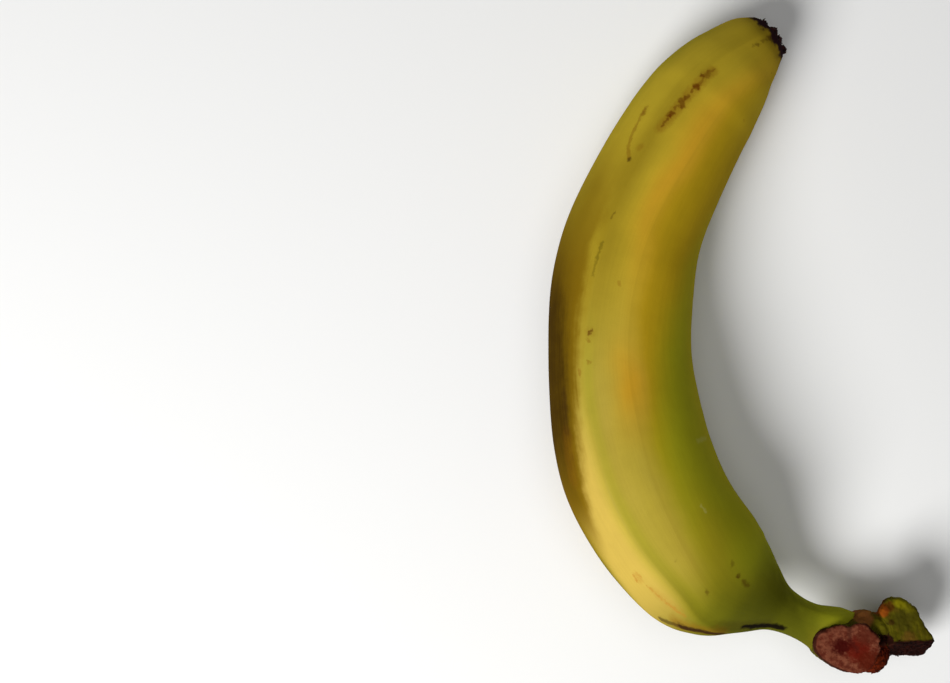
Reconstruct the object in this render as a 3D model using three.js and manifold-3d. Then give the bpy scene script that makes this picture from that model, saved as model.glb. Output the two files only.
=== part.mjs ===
// A plantain, picked and lying on its side: one solid fruit with its stalk, the piece of
// crown cut away with it and the dried flower end. Millimetres, +Z up. Seen from above the
// fruit is a crescent that bulges towards -X, with its stalk at -Y and its flower end at +Y.
import * as THREE from 'three'
import { mergeVertices } from 'three/addons/utils/BufferGeometryUtils.js'
import Module from 'manifold-3d'

const wasm = await Module()
wasm.setup()

// ---- Driving dimensions -------------------------------------------------------------

// The middle line of the fruit seen from above, from the flower end to inside the crown.
const CENTRELINE = [
  [12.0, 102.0], [-0.3, 92.0], [-15.2, 73.6], [-26.8, 52.9], [-35.6, 31.1],
  [-38.8, 8.0], [-37.9, -15.6], [-32.9, -39.0], [-21.6, -59.6], [-5.8, -75.2],
  [12.0, -84.4], [30.5, -93.4],
]

// How far the fruit reaches to either side of the middle line, as [distance along the
// line, reach to the outside of the crescent, reach to its hollow side].
const REACH = [
  [0, 6.4, 6.4], [4, 9.1, 8.6], [8, 11.5, 11.0], [14, 13.5, 13.5], [20, 15.7, 15.6],
  [26, 17.4, 17.1], [34, 18.9, 18.7], [50, 19.9, 20.2], [74, 21.4, 21.1], [98, 22.8, 22.5],
  [122, 22.8, 22.7], [146, 24.4, 24.0], [160, 24.9, 24.3], [182, 23.9, 23.5],
  [194, 23.3, 22.6], [200, 21.8, 21.4], [206, 18.3, 19.8], [212, 13.4, 17.3],
  [218, 9.8, 13.0], [224, 7.4, 8.5], [230, 6.3, 7.0], [236, 6.3, 7.1], [241, 7.3, 8.6],
  [244, 8.0, 9.3], [247, 8.8, 9.4],
]

// How far the underside is above the surface that the fruit lies on. It is a little under
// zero at three places round the weight, and is cut off flat there.
const UNDERSIDE = [
  [0, 9.4], [8, 5.4], [14, 3.6], [22, 1.7], [30, 0.4], [38, -0.35], [50, 0.15], [72, 0.6],
  [90, 0.2], [104, -0.35], [118, 0.2], [142, 0.6], [162, 0.25], [181, -0.35], [192, 0.6],
  [202, 3.0], [210, 6.2], [218, 9.6], [228, 12.0], [247, 10.6],
]

// Height of the section over its width.
const HEIGHT_OVER_WIDTH = [[0, 1.0], [30, 0.98], [100, 0.96], [190, 0.96], [222, 0.92], [247, 0.78]]

// The ridges that run from stalk to flower end. A bearing is the angle round the section in
// degrees from straight up, positive towards the hollow side of the crescent, and is given
// at distances along the middle line. Rise is the ridge's height over the section's radius,
// and steps is how many facets lie between it and the next ridge.
const RIDGES = [
  { rise: 0.060, steps: 6, bearing: [[0, -88], [112, -94], [176, -95], [230, -136]] },
  {
    rise: 0.085, steps: 4,
    bearing: [
      [0, -2], [22, -16], [47, -23], [92, -28], [112, -33], [128, -36], [150, -31], [178, -29],
      [188, -28], [195, -30], [205, -43], [222, -76],
    ],
  },
  {
    rise: 0.022, steps: 6,
    bearing: [[0, 30], [42, 17], [87, 7], [120, 1], [150, 3], [176, 0], [200, -12], [226, -28]],
  },
  { rise: 0.060, steps: 6, bearing: [[0, 96], [62, 90], [120, 82], [176, 78], [230, 42]] },
  { rise: 0.070, steps: 5, bearing: [[0, 158], [62, 150], [176, 149], [230, 112]] },
  { rise: 0.070, steps: 5, bearing: [[0, 212], [62, 211], [176, 210], [230, 174]] },
]

// How strongly the ridges stand out along the fruit.
const RIDGE_STRENGTH = [[0, 0.25], [16, 0.8], [34, 1.0], [190, 1.0], [215, 0.8], [247, 0.8]]

// How many sections the fruit has, and how much closer they stand at both ends.
const RINGS = 62
const RING_CROWDING = 0.42

// The flower end: a small sunken face with a dried stump at its middle and dried nubs
// standing round its rim. The nubs differ by these shares of their size and circle.
const FLOWER_FACE_SINK = 1.0
const FLOWER_STUMP = { radius: 2.9, inset: 0.9 }
const FLOWER_NUBS = { count: 7, radius: 1.75, circle: 4.9, inset: 0.3 }
const FLOWER_UNEVENNESS = { radius: 0.2, circle: 0.12, inset: 0.5 }

// The crown piece: the cushion that the stalk grows into, the stub of the neighbouring
// fruit with its oval cut face, the wedge of crown beside it, and what tore when it was cut.
// A block's levels are pairs of a share of its height and its size there over its outline.
// The stub's profile is pairs of a share of its half sizes and a height over its face.
const CUSHION = {
  outline: [
    [26.5, -98.5], [30.5, -102.6], [36.0, -104.8], [42.0, -104.9], [47.4, -103.0], [49.5, -98.0],
    [48.5, -92.0], [44.5, -88.0], [38.5, -86.6], [32.5, -86.4], [27.5, -88.4], [25.0, -93.0],
  ],
  middle: [38.0, -95.0],
  bottom: 7.5,
  top: 21.6,
  levels: [[0, 0.66], [0.18, 0.86], [0.5, 0.98], [0.8, 0.97], [1, 0.84]],
  lean: [1.6, -1.2],
  cut: { points: 0, spread: 0 },
}
const WEDGE = {
  outline: [
    [46.4, -93.6], [53.6, -93.4], [61.0, -93.1], [60.3, -91.7], [57.0, -87.0], [54.6, -82.5],
    [51.6, -80.4], [48.0, -79.8], [45.3, -80.8], [43.6, -84.2], [45.6, -88.0],
  ],
  middle: [51.5, -88.0],
  bottom: 11.0,
  top: 25.4,
  levels: [[0, 0.85], [0.4, 0.95], [0.85, 1], [1, 0.95]],
  lean: [2.59, -2.4],
  cut: { points: 3, spread: 5.3 },
}
const STUB = {
  at: [33.9, -96.4, 24.6],
  half: [10.4, 7.9],
  turn: -14,
  lean: [-0.18, -0.24, 0.954],
  profile: [
    [0, -8], [0.80, -8], [0.94, -4], [1.0, -1.2], [0.97, -0.1], [0.88, 0.3], [0.5, -0.2], [0, -0.6],
  ],
}
const NUB = { at: [39.3, -87.8, 19.5], half: [3.3, 3.4, 4.6], turn: -15 }
const SHOULDER = { at: [43.9, -88.4, 18.3], half: [3.1, 5.4, 5.5], turn: 38 }
const NOTCH = { at: [46.0, -94.6, 24.0], half: [3.6, 1.9, 6.0], turn: 0 }
const STUB_COLUMNS = 24
const LUMP_COLUMNS = 12
const LUMP_ROWS = 8

// ---- Helpers ------------------------------------------------------------------------

// A smooth curve through [place, value] pairs, held level past both ends.
function profile(pairs) {
  const slope = pairs.map((_, i) => {
    const [before, after] = [pairs[Math.max(i - 1, 0)], pairs[Math.min(i + 1, pairs.length - 1)]]
    return (after[1] - before[1]) / (after[0] - before[0])
  })
  return (place) => {
    const held = THREE.MathUtils.clamp(place, pairs[0][0], pairs.at(-1)[0])
    const i = Math.max(1, pairs.findIndex(([end]) => held <= end))
    const [[start, from], [end, to]] = [pairs[i - 1], pairs[i]]
    const span = end - start
    const t = (held - start) / span
    const bend = (1 - t) * (slope[i - 1] * span - (to - from)) - t * (slope[i] * span - (to - from))
    return from + (to - from) * t + t * (1 - t) * bend
  }
}

// A closed mesh through rings of equal point counts, with a fan at each end.
function loft(rings, firstMiddle, lastMiddle) {
  const count = rings[0].length
  const points = [...rings.flat(), firstMiddle, lastMiddle]
  const [first, last] = [points.length - 2, points.length - 1]
  const faces = []
  for (let i = 0; i < count; i++) {
    const next = (i + 1) % count
    faces.push(first, next, i)
    for (let ring = 0; ring < rings.length - 1; ring++) {
      const [a, b] = [ring * count + i, ring * count + next]
      faces.push(a, b, b + count, a, b + count, a + count)
    }
    const top = (rings.length - 1) * count
    faces.push(last, top + i, top + next)
  }
  const geometry = new THREE.BufferGeometry().setFromPoints(points)
  geometry.setIndex(faces)
  return geometry
}

function toSolid(geometry) {
  geometry.deleteAttribute('normal')
  geometry.deleteAttribute('uv')
  const closed = mergeVertices(geometry, 1e-4)
  const vertProperties = new Float32Array(closed.attributes.position.array)
  const triVerts = new Uint32Array(closed.index.array)
  return new wasm.Manifold(new wasm.Mesh({ numProp: 3, vertProperties, triVerts }))
}

function toGeometry(solid) {
  const mesh = solid.getMesh()
  const geometry = new THREE.BufferGeometry()
  geometry.setAttribute('position', new THREE.BufferAttribute(new Float32Array(mesh.vertProperties), 3))
  geometry.setIndex(new THREE.BufferAttribute(new Uint32Array(mesh.triVerts), 1))
  return geometry
}

// A rounded lump with its own half sizes, turned in plan by some degrees.
function lump({ at, half, turn }) {
  const geometry = new THREE.SphereGeometry(1, LUMP_COLUMNS, LUMP_ROWS)
  geometry.rotateX(Math.PI / 2)
  geometry.scale(...half)
  geometry.rotateZ(THREE.MathUtils.degToRad(turn))
  geometry.translate(...at)
  return toSolid(geometry)
}

// ---- The fruit ----------------------------------------------------------------------

const outerReach = profile(REACH.map(([distance, outer]) => [distance, outer]))
const innerReach = profile(REACH.map(([distance, , inner]) => [distance, inner]))
const underside = profile(UNDERSIDE)
const heightOverWidth = profile(HEIGHT_OVER_WIDTH)
const ridgeStrength = profile(RIDGE_STRENGTH)
const ridges = RIDGES.map((ridge) => ({ ...ridge, bearing: profile(ridge.bearing) }))
const centreline = new THREE.CatmullRomCurve3(
  CENTRELINE.map(([x, y]) => new THREE.Vector3(x, y, 0)), false, 'centripetal')
centreline.arcLengthDivisions = 600
const fruitLength = centreline.getLength()

// The shape of the section at a distance along the fruit, as [across, up] pairs. Each face
// is level at its middle and rises to the ridge on either side of it.
function sectionShape(distance) {
  const strength = ridgeStrength(distance)
  const shape = []
  ridges.forEach((ridge, i) => {
    const next = ridges[(i + 1) % ridges.length]
    const start = ridge.bearing(distance)
    const wrapped = i === ridges.length - 1 ? 360 : 0
    const gap = next.bearing(distance) + wrapped - start
    for (let step = 0; step < ridge.steps; step++) {
      const share = step / ridge.steps
      const risen = ridge.rise * Math.max(0, 1 - 2 * share) ** 2
      const nextRisen = next.rise * Math.max(0, 2 * share - 1) ** 2
      const radius = 1 + strength * (risen + nextRisen)
      const bearing = THREE.MathUtils.degToRad(start + gap * share)
      shape.push([radius * Math.sin(bearing), radius * Math.cos(bearing)])
    }
  })
  return shape
}

// The section set to its real width and height, standing across the middle line.
function fruitRing(distance) {
  const share = Math.min(1, distance / fruitLength)
  const middle = centreline.getPointAt(share)
  const along = centreline.getTangentAt(share)
  const inward = new THREE.Vector3(-along.y, along.x, 0)
  const shape = sectionShape(distance)
  const acrossAll = shape.map(([across]) => across)
  const upAll = shape.map(([, up]) => up)
  const [left, right] = [Math.min(...acrossAll), Math.max(...acrossAll)]
  const [low, high] = [Math.min(...upAll), Math.max(...upAll)]
  const width = outerReach(distance) + innerReach(distance)
  const height = width * heightOverWidth(distance)
  return shape.map(([across, up]) => {
    const offset = width * (across - left) / (right - left) - outerReach(distance)
    const lift = Math.max(0, underside(distance) + height * (up - low) / (high - low))
    return middle.clone().addScaledVector(inward, offset).setZ(lift)
  })
}

function middleOf(ring) {
  const sum = ring.reduce((total, point) => total.add(point), new THREE.Vector3())
  return sum.divideScalar(ring.length)
}

function fruitBody() {
  const rings = []
  for (let i = 0; i < RINGS; i++) {
    const t = i / (RINGS - 1)
    const crowded = t - RING_CROWDING * Math.sin(2 * Math.PI * t) / (2 * Math.PI)
    rings.push(fruitRing(fruitLength * crowded).reverse())
  }
  const along = centreline.getTangentAt(0)
  const firstMiddle = middleOf(rings[0]).addScaledVector(along, FLOWER_FACE_SINK)
  return toSolid(loft(rings, firstMiddle, middleOf(rings.at(-1))))
}

// ---- The flower end -----------------------------------------------------------------

// A repeatable value between -1 and 1 that differs from one nub to the next.
function uneven(nub, trait) {
  return Math.sin(2.3 * nub + 1.7 * trait * (nub + 1))
}

function nubAt(place, radius) {
  const geometry = new THREE.IcosahedronGeometry(radius, 1)
  geometry.translate(place.x, place.y, place.z)
  return toSolid(geometry)
}

function flowerEnd() {
  const middle = middleOf(fruitRing(0))
  const along = centreline.getTangentAt(0)
  const inward = new THREE.Vector3(-along.y, along.x, 0)
  const stump = middle.clone().addScaledVector(along, FLOWER_STUMP.inset)
  let solid = nubAt(stump, FLOWER_STUMP.radius)
  for (let nub = 0; nub < FLOWER_NUBS.count; nub++) {
    const bearing = (2 * Math.PI * nub) / FLOWER_NUBS.count
    const circle = FLOWER_NUBS.circle * (1 + FLOWER_UNEVENNESS.circle * uneven(nub, 0))
    const inset = FLOWER_NUBS.inset + FLOWER_UNEVENNESS.inset * uneven(nub, 1)
    const radius = FLOWER_NUBS.radius * (1 + FLOWER_UNEVENNESS.radius * uneven(nub, 2))
    const place = middle.clone()
      .addScaledVector(inward, circle * Math.sin(bearing))
      .addScaledVector(along, inset)
    place.z += circle * Math.cos(bearing)
    solid = solid.add(nubAt(place, radius))
  }
  return solid
}

// ---- The crown ----------------------------------------------------------------------

// A block of crown: its outline from above, drawn in or let out level by level. Its
// underside stands out from its top by its lean, and further by its spread along a cut.
function block({ outline, middle, bottom, top, levels, lean, cut }) {
  const [middleX, middleY] = middle
  const rings = levels.map(([level, size]) => outline.map(([x, y], i) => {
    const below = 1 - level
    const onCut = i < cut.points
    const px = middleX + (x - middleX) * size + lean[0] * below
    const py = onCut ? y - cut.spread * below : middleY + (y - middleY) * size
    return new THREE.Vector3(px, py + lean[1] * below, bottom + (top - bottom) * level)
  }))
  return toSolid(loft(rings, middleOf(rings[0]), middleOf(rings.at(-1))))
}

// The neighbour's stub: an oval post with a cut face that is a little sunken.
function neighbourStub() {
  const outline = STUB.profile.map(([share, height]) => new THREE.Vector2(share, height))
  const geometry = new THREE.LatheGeometry(outline, STUB_COLUMNS)
  geometry.rotateX(Math.PI / 2)
  geometry.scale(STUB.half[0], STUB.half[1], 1)
  geometry.rotateZ(THREE.MathUtils.degToRad(STUB.turn))
  const upright = new THREE.Vector3(0, 0, 1)
  const lean = new THREE.Vector3(...STUB.lean).normalize()
  geometry.applyQuaternion(new THREE.Quaternion().setFromUnitVectors(upright, lean))
  geometry.translate(...STUB.at)
  return toSolid(geometry)
}

function crown() {
  return block(CUSHION)
    .add(neighbourStub())
    .add(block(WEDGE))
    .add(lump(SHOULDER))
    .add(lump(NUB))
    .subtract(lump(NOTCH))
}

// ---- The whole plantain -------------------------------------------------------------

const peel = new THREE.MeshStandardMaterial({ color: 0x9c8f33, roughness: 0.45, metalness: 0 })

function plantain() {
  const geometry = toGeometry(fruitBody().add(flowerEnd()).add(crown()))
  geometry.computeBoundingBox()
  const middle = geometry.boundingBox.getCenter(new THREE.Vector3())
  geometry.translate(-middle.x, -middle.y, -geometry.boundingBox.min.z)
  geometry.computeVertexNormals()
  const mesh = new THREE.Mesh(geometry, peel)
  mesh.name = 'plantain'
  return mesh
}

const group = new THREE.Group()
group.add(plantain())

export default group
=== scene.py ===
"""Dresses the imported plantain: its peel, the cut and torn crown piece and the dried flower end.

Drawings are in millimetres and every mesh is in metres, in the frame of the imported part.
"""

import math

import bmesh
import bpy
import numpy as np
from bpy.props import FloatProperty, FloatVectorProperty, IntProperty, PointerProperty
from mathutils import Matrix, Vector


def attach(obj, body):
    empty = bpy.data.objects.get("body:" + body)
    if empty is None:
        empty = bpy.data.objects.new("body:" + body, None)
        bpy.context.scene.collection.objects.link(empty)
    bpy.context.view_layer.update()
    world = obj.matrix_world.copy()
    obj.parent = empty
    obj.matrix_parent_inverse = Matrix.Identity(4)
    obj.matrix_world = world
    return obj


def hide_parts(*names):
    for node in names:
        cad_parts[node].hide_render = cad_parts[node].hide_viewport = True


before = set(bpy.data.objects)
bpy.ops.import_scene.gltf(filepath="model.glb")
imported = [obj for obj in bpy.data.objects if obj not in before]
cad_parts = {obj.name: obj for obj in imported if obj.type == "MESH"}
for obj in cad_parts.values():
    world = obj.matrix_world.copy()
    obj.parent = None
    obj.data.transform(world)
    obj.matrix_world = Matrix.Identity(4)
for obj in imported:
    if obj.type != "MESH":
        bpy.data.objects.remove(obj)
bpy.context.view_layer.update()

bl_info = {
    "name": "Plantain",
    "version": (1, 0, 0),
    "blender": (4, 5, 0),
    "location": "3D View > Sidebar > Plantain",
    "description": "Dresses the packed plantain with its peel, crown piece and flower end",
    "category": "Object",
}

NODE = "plantain"
BODY = "root"
MM = 0.001

# ---- The drawing, in millimetres ---------------------------------------------------------

# Where the middle of the part's box lies in the drawing.
DRAWING_MIDDLE = (0.245, 0.832)

# The middle line seen from above, from the flower end to inside the crown.
CENTRELINE = [
    (12.0, 102.0), (-0.3, 92.0), (-15.2, 73.6), (-26.8, 52.9), (-35.6, 31.1), (-38.8, 8.0),
    (-37.9, -15.6), (-32.9, -39.0), (-21.6, -59.6), (-5.8, -75.2), (12.0, -84.4), (30.5, -93.4),
    (37.8, -95.6), (46.8, -97.6),
]

# Reach to the outside of the crescent and to its hollow side, at distances along the line.
REACH = [
    (0, 6.4, 6.4), (4, 9.1, 8.6), (8, 11.5, 11.0), (14, 13.5, 13.5), (20, 15.7, 15.6),
    (26, 17.4, 17.1), (34, 18.9, 18.7), (50, 19.9, 20.2), (74, 21.4, 21.1), (98, 22.8, 22.5),
    (122, 22.8, 22.7), (146, 24.4, 24.0), (160, 24.9, 24.3), (182, 23.9, 23.5),
    (194, 23.3, 22.6), (200, 21.8, 21.4), (206, 18.3, 19.8), (212, 13.4, 17.3),
    (218, 9.8, 13.0), (224, 7.4, 8.5), (230, 6.3, 7.0), (236, 6.3, 7.1), (241, 7.3, 8.6),
    (244, 8.0, 9.3), (247, 8.6, 9.3), (253, 9.3, 8.7), (262, 8.4, 7.6),
]

# Height of the underside over the surface that the fruit lies on.
UNDERSIDE = [
    (0, 9.4), (8, 5.4), (14, 3.6), (22, 1.7), (30, 0.4), (38, -0.35), (50, 0.15), (72, 0.6),
    (90, 0.2), (104, -0.35), (118, 0.2), (142, 0.6), (162, 0.25), (181, -0.35), (192, 0.6),
    (202, 3.0), (210, 6.2), (218, 9.6), (228, 12.0), (241, 10.6), (250, 8.6), (262, 8.2),
]

# Height of the section over its width.
HEIGHT_OVER_WIDTH = [
    (0, 1.0), (30, 0.98), (100, 0.96), (190, 0.96), (222, 0.92), (247, 0.76), (262, 0.78),
]

# The ridges round the section: rise over the section's radius, and bearing from straight up
# in degrees, positive towards the hollow side, at distances along the line. ROUNDNESS says how
# many times the common softness each is rounded.
MAIN_RIDGE = 2
ROUNDNESS = [1.0, 1.4, 1.0, 4.5, 1.8, 1.0]
RIDGES = [
    (0.070, [(0, -148), (62, -149), (176, -150), (230, -186)]),
    (0.060, [(0, -88), (112, -94), (176, -95), (230, -136)]),
    (0.085, [(0, -2), (22, -16), (47, -23), (92, -28), (112, -33), (128, -36), (150, -31), (178, -29),
             (188, -28), (195, -30), (205, -43), (222, -76)]),
    (0.022, [(0, 30), (42, 17), (87, 7), (120, 1), (150, 3), (176, 0), (200, -12), (226, -28)]),
    (0.060, [(0, 96), (62, 90), (120, 82), (176, 78), (230, 42)]),
    (0.070, [(0, 158), (62, 150), (176, 149), (230, 112)]),
]
# Where the peel's own measure round the fruit starts: a bearing that keeps by the main ridge.
BACK_LINE = [
    (0, -2), (22, -16), (47, -23), (112, -29), (150, -24), (186, -26), (201, -50), (222, -78),
]
# How strongly the ridges stand out along the fruit.
RIDGE_STRENGTH = [(0, 0.25), (16, 0.8), (34, 1.0), (190, 1.0), (215, 0.8), (240, 0.7), (258, 0.25)]

# How the flower end closes: shares of full size and the distance along the line of each.
FLOWER_CLOSING = [
    (0.0, 3.0), (0.3, 2.9), (0.55, 2.5), (0.72, 2.1), (0.84, 2.0), (0.92, 2.1), (0.97, 2.4),
    (1.0, 2.9),
]
# How the fruit's other end, which lies inside the crown, is rounded off.
CROWN_CLOSING_LENGTH = 6.0
CROWN_CLOSING_ROWS = 14

# The neighbour's stub: the rim of its cut face, seen from above, and how the face leans.
STUB_RIM = [
    (23.1, -95.0), (23.7, -92.4), (25.0, -90.7), (27.9, -89.7), (31.0, -88.6), (33.9, -88.9),
    (36.6, -87.7), (38.6, -87.6), (40.2, -89.3), (42.2, -91.2), (43.7, -93.2), (43.7, -95.8),
    (42.9, -98.6), (41.7, -101.8), (39.0, -104.3), (35.0, -104.5), (31.4, -103.6), (27.9, -101.8),
    (25.4, -99.8), (23.6, -97.3),
]
STUB_MIDDLE = (33.9, -96.4, 24.2)
STUB_LEAN = (-0.18, -0.24, 0.954)
STUB_FACE_HALF = (10.6, 8.3)
# How dark the face's rim is, at bearings in degrees round the face from +X.
DARK_RIM = [
    (-180, 1), (-95, 1), (-72, 0.15), (-10, 0.15), (15, 0.8), (60, 0.7), (80, 0.1), (130, 0.1),
    (148, 1), (180, 1),
]
# The stub's levels: height over its face and share of the rim's size.
STUB_LEVELS = [
    (-9.0, 1.05), (-6.5, 1.04), (-4.0, 1.0), (-1.6, 1.0), (-0.5, 0.985), (0.15, 0.93), (0.2, 0.8),
]
# How many steps a rim is rounded with between two of its points.
RIM_STEPS = 5

# The wedge of crown beside it: its outline, the straight run of it that was cut, how far
# the underside stands out from the top, and its levels as shares of height and size.
WEDGE_RIM = [
    (46.6, -93.6), (50.2, -93.5), (54.0, -93.4), (57.6, -93.3), (61.1, -93.1), (60.2, -91.7),
    (58.6, -89.6), (57.1, -87.0), (56.0, -84.8), (54.6, -82.6), (52.9, -81.1), (51.0, -80.2),
    (48.9, -79.6), (47.2, -79.8), (45.6, -80.6), (44.4, -82.3), (43.5, -84.5), (44.6, -86.4),
    (46.2, -88.2), (46.8, -90.8),
]
WEDGE_CUT_POINTS = 5
WEDGE_MIDDLE = (51.5, -88.0)
WEDGE_BOTTOM = 11.0
WEDGE_TOP = 25.4
WEDGE_LEAN = (2.6, -2.4)
WEDGE_SPREAD = 5.5
WEDGE_LEVELS = [(0, 0.84), (0.2, 0.92), (0.5, 0.97), (0.85, 1.0), (0.97, 0.985), (1, 0.93)]
WEDGE_ROWS = 14

# Rounded lumps of the crown: middle, half sizes and turn in plan. Torn ones show flesh.
CROWN_LUMPS = [
    ((40.6, -88.3, 19.4), (3.6, 3.6, 4.7), -15),
    ((44.5, -89.6, 19.5), (3.4, 4.2, 5.7), 38),
    ((40.5, -90.5, 14.5), (5.5, 4.5, 4.5), 0),
]
TORN_LUMPS = [
    ((43.4, -99.9, 16.6), (4.8, 5.2, 5.6), -12),
    ((45.8, -96.6, 15.6), (3.4, 4.2, 4.8), 10),
    ((50.2, -94.2, 14.5), (4.5, 3.2, 3.6), 0),
]
# The hollow cut in beside the wedge.
NOTCH = ((45.6, -93.9, 24.8), (2.9, 2.3, 7.2), 8)
# How finely the balls are made that the lumps and the nubs start from.
BALL_SUBDIVISIONS = 4

# The flower end's stump and the nubs round it: bearing in degrees from the top towards the
# hollow side, distance from the middle, distance in from the end, and radius.
FLOWER_NUBS = [
    (0, 0.0, 5.0, 4.2), (0, 4.3, 1.9, 1.5), (36, 4.0, 2.2, 1.4), (85, 5.4, 1.9, 1.3),
    (140, 4.2, 2.6, 1.6), (195, 4.3, 2.3, 1.7), (245, 4.4, 2.7, 1.6), (296, 4.6, 2.4, 1.6),
]
# How far a nub's sizes may differ from round, as shares of it.
NUB_STRETCH = ((0.86, 0.86, 0.86), (1.14, 1.14, 1.14))
SCALE_RADIUS = 0.0003

# The peel. Distances along the fruit start at the flower end, and distances round it at the
# back line, positive towards the hollow side; both are in millimetres.
PEEL_RADIUS = 21.0
# How little the streaks change along the fruit, next to round it.
STREAK_STRETCH = 0.035
SPECKS_PER_METRE = 95.0
# How far noise shifts the washes, and the edges of the marks.
WASH_SWAY = 9.0
MARK_RAGGEDNESS = 2.5
# The browned side's border: its gap from the back line, and where and how soon it bends away. The browned
# side is real browning darkened further by painted shadow from a neighbouring fruit.
BROWN_GAP = 2.0
BROWN_START = 96.0
BROWN_BEND = 19.5
# Broad washes: colour, middle and half length along, middle and half width round, strength.
WASHES = [
    ("moss", 0, 40, -24, 8, 0.6),
    ("green", 46, 42, -31, 8, 0.5),
    ("umber", 4, 12, 3, 10, 0.8),
    ("orange", 56, 44, 11.5, 5, 0.9),
    ("umber", 66, 44, 0, 4, 0.7),
    ("umber", 92, 24, 3, 7, 0.5),
    ("umber", 34, 18, 5, 4, 0.25),
    ("orange", 130, 12, 9.6, 4.8, 1.0),
    # Rust washes by the browned side, here and at 103 along: real colour with painted shadow.
    ("rust", 77, 11, -13, 5, 0.45),
    # Painted highlight: a soft pale sheen along the top of the back.
    ("pale_and_sheen", 145, 22, 0, 5, 0.35),
    ("umber", 188, 28, 19, 7, 0.4),
    ("umber", 184, 34, -35, 11, 0.9),
    ("umber", 158, 30, 8, 7, 0.25),
    ("umber", 108, 14, 4, 6, 0.15),
    # Painted shadow by the browned side, over real browning.
    ("rust", 103, 11, -9, 5, 0.5),
    ("moss", 84, 12, -19, 8, 0.2),
    ("umber", 194, 17, 14, 10, 0.4),
    ("umber", 8, 10, 8, 6, 0.4),
    ("yellow", 16, 18, 27, 11, 0.75),
    ("yellow", 75, 90, 43, 7, 0.6),
    # Darker neck: its own dark green with painted shade.
    ("neck_and_shade", 207, 10, 12, 7, 0.45),
    # Painted shade along the outer edge by the shoulder.
    ("neck_and_shade", 184, 28, -32, 7, 0.8),
]
# Bands laid over the washes: colour, strength and fades. A fade has what it goes by, where it
# is 0 and where it is 1; without the two places, it is taken as it stands.
BANDS = [
    # The pale band: yellower skin, made brighter with a painted highlight where the side light falls.
    ("pale_and_sheen", 0.95, [("along", 112, 160), ("along", 206, 190), ("from_ridge", 1.2, -5),
                    ("around", -28, -18)]),
    # The rust edge and the brown patch: real browning, made darker with painted shadow from a neighbouring
    # fruit.
    ("rust", 1, [("depth", -2.5, 4), ("along", 40, 105), ("along", 180, 158), ("around", -56, -40)]),
    ("brown_and_shadow", 1, [("deep", 2, 18.5), ("along", 76, 112), ("along", 174, 138), ("around", -54, -38),
                  ("patchy",)]),
    ("green", 0.35, [("main_ridge",), ("along", 100, 135), ("along", 206, 196)]),
    ("umber", 0.12, [("other_ridges",), ("along", 20, 50), ("along", 208, 190)]),
    # The neck: its own dark green, darkened further with painted shade.
    ("neck_and_shade", 1, [("to_neck", 184, 220), ("around", 46, 14), ("around", -60, -4)]),
    # Painted light: the stalk's upper edge made a paler green where the body shades it.
    ("moss", 0.88, [("to_crown", 228, 244), ("around", 3, 20)]),
    ("umber", 0.85, [("to_stub", 237, 252), ("around", 18, 4)]),
    # Painted shade on the stalk's underside next to the stub.
    ("neck_and_shade", 0.9, [("to_stub", 230, 246), ("below", -2, -7)]),
]

# Noise patterns: scale, detail, roughness and distortion.
NOISES = {
    "swell": (28.0, 1.5, 0.4, 0.0),
    "sway": (40.0, 2.0, 0.5, 0.0),
    "mottle": (170.0, 4.0, 0.6, 0.0),
    "streaks": (0.9, 3.0, 0.6, 0.0),
    "peel grain": (1300.0, 3.0, 0.6, 0.0),
    "ragged": (700.0, 4.0, 0.6, 0.0),
    "broken": (800.0, 2.0, 0.5, 0.0),
    "creep": (300.0, 3.0, 0.6, 0.0),
    "dry grain": (900.0, 4.0, 0.6, 0.0),
    "crown grain": (950.0, 4.0, 0.65, 0.0),
    "patches": (330.0, 3.0, 0.6, 0.0),
    "blotches": (560.0, 3.0, 0.6, 0.0),
    "fibres": (1.3, 3.0, 0.6, 0.0),
    "lumps": (0.42, 2.0, 0.5, 0.0),
    "folds": (0.75, 3.0, 0.55, 0.6),
    "combed": (0.95, 2.0, 0.6, 0.0),
}

# The lights: name, place, target and diameter in metres.
LIGHTS = [
    ("overhead", (0.0, 0.05, 1.2), (0.0, 0.0, 0.0), 1.1),
    ("side", (-0.68, -0.68, 0.87), (0.0, 0.0, 0.02), 0.7),
]
FLOOR_HALF = 3.0
# The camera stands straight over the middle of the picture.
CAMERA_PLACE = (-85.5, 0.9, 445.0)
CAMERA_LENS = 50.0
CAMERA_SENSOR = 36.0


def srgb(red, green, blue):
    """A colour given in screen levels from 0 to 255, as linear light."""
    def linear(level):
        share = level / 255
        return share / 12.92 if share <= 0.04045 else ((share + 0.055) / 1.055) ** 2.4
    return (linear(red), linear(green), linear(blue), 1.0)


DRIED_COLOUR = srgb(38, 18, 22)
SCAB = srgb(76, 27, 3)
BROWN_LINE = srgb(126, 82, 12)
DARK_DOT = srgb(72, 48, 8)
DARK_STREAK = srgb(48, 26, 10)
BLACK = srgb(14, 7, 4)
FRESH_SCRATCH = srgb(164, 104, 30)
OLIVE_LINE = srgb(78, 68, 8)
PALE_SCRATCH = srgb(182, 176, 100)

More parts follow.
